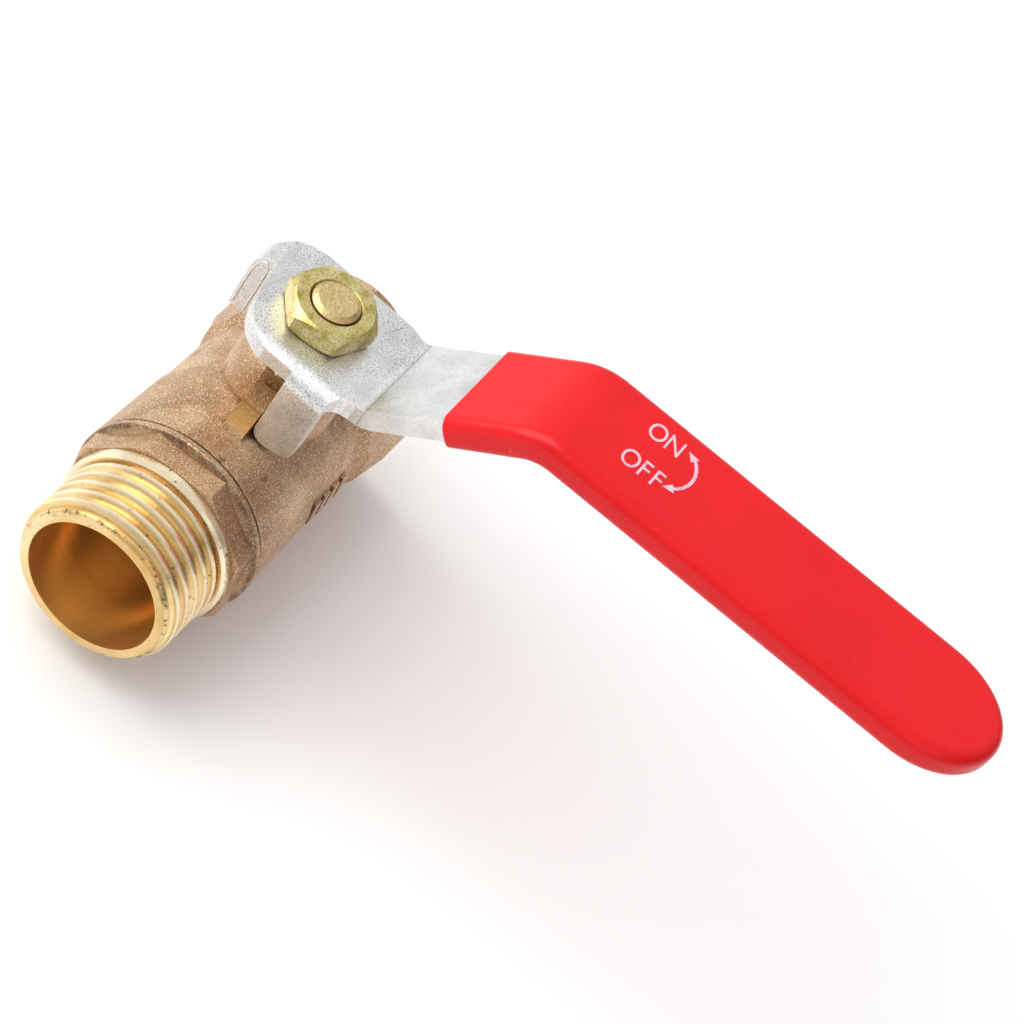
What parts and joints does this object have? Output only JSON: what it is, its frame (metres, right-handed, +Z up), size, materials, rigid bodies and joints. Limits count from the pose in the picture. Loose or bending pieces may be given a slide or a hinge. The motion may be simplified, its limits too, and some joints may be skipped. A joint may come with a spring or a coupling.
{
  "type": "ball valve",
  "caption": "Small brass two-piece ball valve, male by female pipe ends, with a cranked steel lever in a red dipped sleeve.",
  "frame": {"origin": "centre of the ball, where the pipe run's axis meets the stem's axis", "axes": "+X along the pipe run towards the female end, +Z up the stem's axis, and the lever points to -Y at rest with the valve shut"},
  "size_m": [0.052, 0.1, 0.0548],
  "materials": {
    "cast_brass": "sand-cast, rough and slightly oxidised",
    "turned_brass": "turned, bright, with fine tool marks",
    "ball_chrome": "polished plating",
    "white_ptfe": "smooth matt",
    "black_rubber": "matt",
    "plated_steel": "zinc plated sheet, speckled",
    "yellow_zinc": "yellow passivated zinc plating",
    "red_dip": "glossy dipped PVC"
  },
  "bodies": {
    "housing": {"body": "cast_brass", "end_piece": "turned_brass", "seat_ring_front": "white_ptfe", "seat_ring_rear": "white_ptfe", "body_joint_seal": "black_rubber", "thrust_washer": "white_ptfe", "packing_ring_lower": "white_ptfe", "packing_ring_upper": "white_ptfe", "gland_nut": "turned_brass"},
    "handle": {"stem": "turned_brass", "lever": "plated_steel", "lever_sleeve": "red_dip", "lever_nut": "yellow_zinc"},
    "plug": {"ball": "ball_chrome"}
  },
  "joints": [
    {"name": "lever_turn", "type": "hinge", "parent": "housing", "child": "handle", "pos_m": [0, 0, 0.02], "axis": [0, 0, 1], "range_deg": [0, 90]},
    {"name": "ball_turn", "type": "hinge", "parent": "housing", "child": "plug", "pos_m": [0, 0, 0], "axis": [0, 0, 1], "range_deg": [0, 90]}
  ],
  "couplings": [
    {"joint": "ball_turn", "follows": "lever_turn", "ratio": 1}
  ]
}
